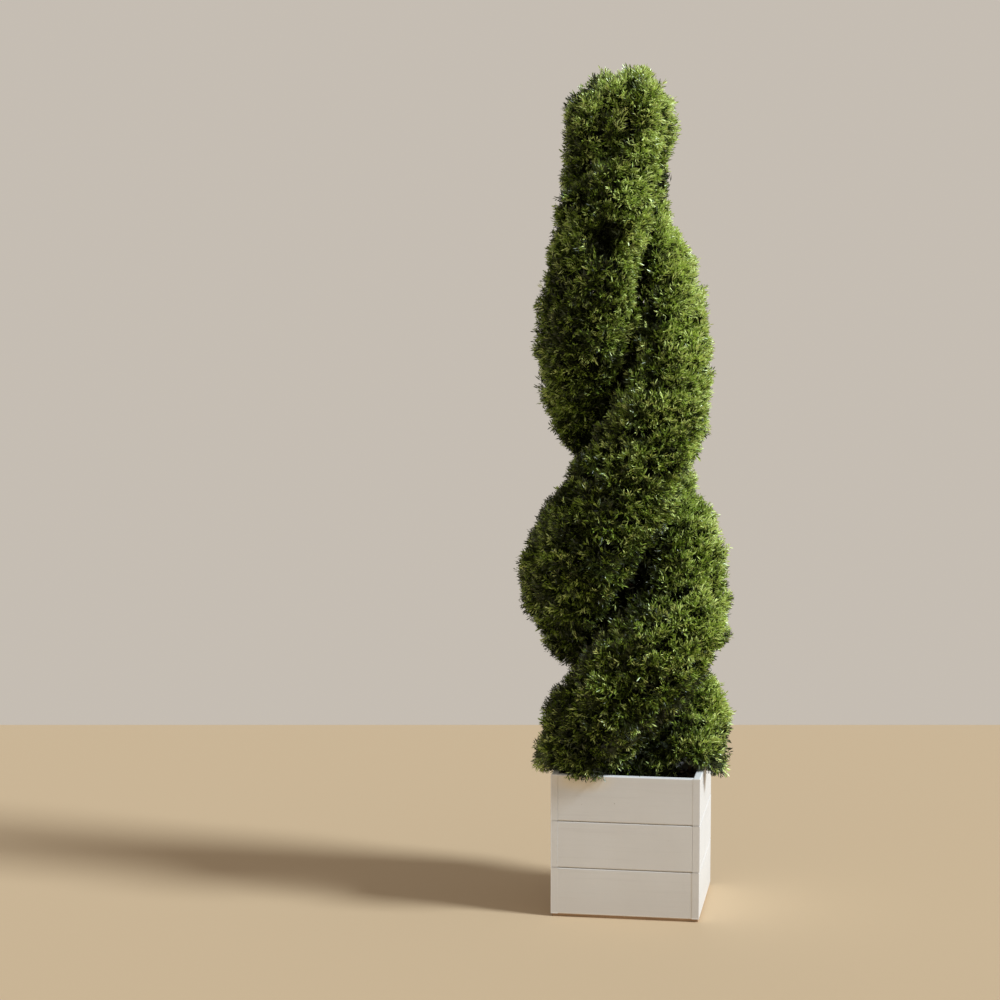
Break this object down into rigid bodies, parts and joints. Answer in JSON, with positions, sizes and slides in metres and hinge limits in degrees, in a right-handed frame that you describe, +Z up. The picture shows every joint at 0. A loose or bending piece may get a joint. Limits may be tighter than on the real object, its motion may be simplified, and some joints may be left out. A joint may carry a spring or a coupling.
{
  "type": "potted spiral topiary",
  "caption": "Clipped evergreen in a double spiral of fat leafy strands round one stem, in a square white board planter.",
  "frame": {"origin": "middle of the planter's flat underside, where it stands on the floor", "axes": "+Z up along the stem, -Y out of the planter's front, +X to the right seen from the front"},
  "size_m": [0.3605, 0.3482, 1.418],
  "materials": {
    "foliage": "matte",
    "bark": "matte",
    "white_paint": "satin",
    "raw_wood": "matte",
    "soil": "matte"
  },
  "bodies": {
    "root": {"first_strand_mass_1": "foliage", "first_strand_mass_2": "foliage", "first_strand_mass_3": "foliage", "first_strand_mass_4": "foliage", "first_strand_mass_5": "foliage", "first_strand_mass_6": "foliage", "second_strand_mass_1": "foliage", "second_strand_mass_2": "foliage", "second_strand_mass_3": "foliage", "second_strand_mass_4": "foliage", "second_strand_mass_5": "foliage", "second_strand_mass_6": "foliage", "planter_front_board_1": "white_paint", "planter_front_board_2": "white_paint", "planter_front_board_3": "white_paint", "planter_back_board_1": "white_paint", "planter_back_board_2": "white_paint", "planter_back_board_3": "white_paint", "planter_left_board_1": "white_paint", "planter_left_board_2": "white_paint", "planter_left_board_3": "white_paint", "planter_right_board_1": "white_paint", "planter_right_board_2": "white_paint", "planter_right_board_3": "white_paint", "planter_post_front_left": "raw_wood", "planter_post_front_right": "raw_wood", "planter_post_back_left": "raw_wood", "planter_post_back_right": "raw_wood", "planter_base": "raw_wood", "soil": "soil", "stem": "bark"}
  },
  "joints": []
}
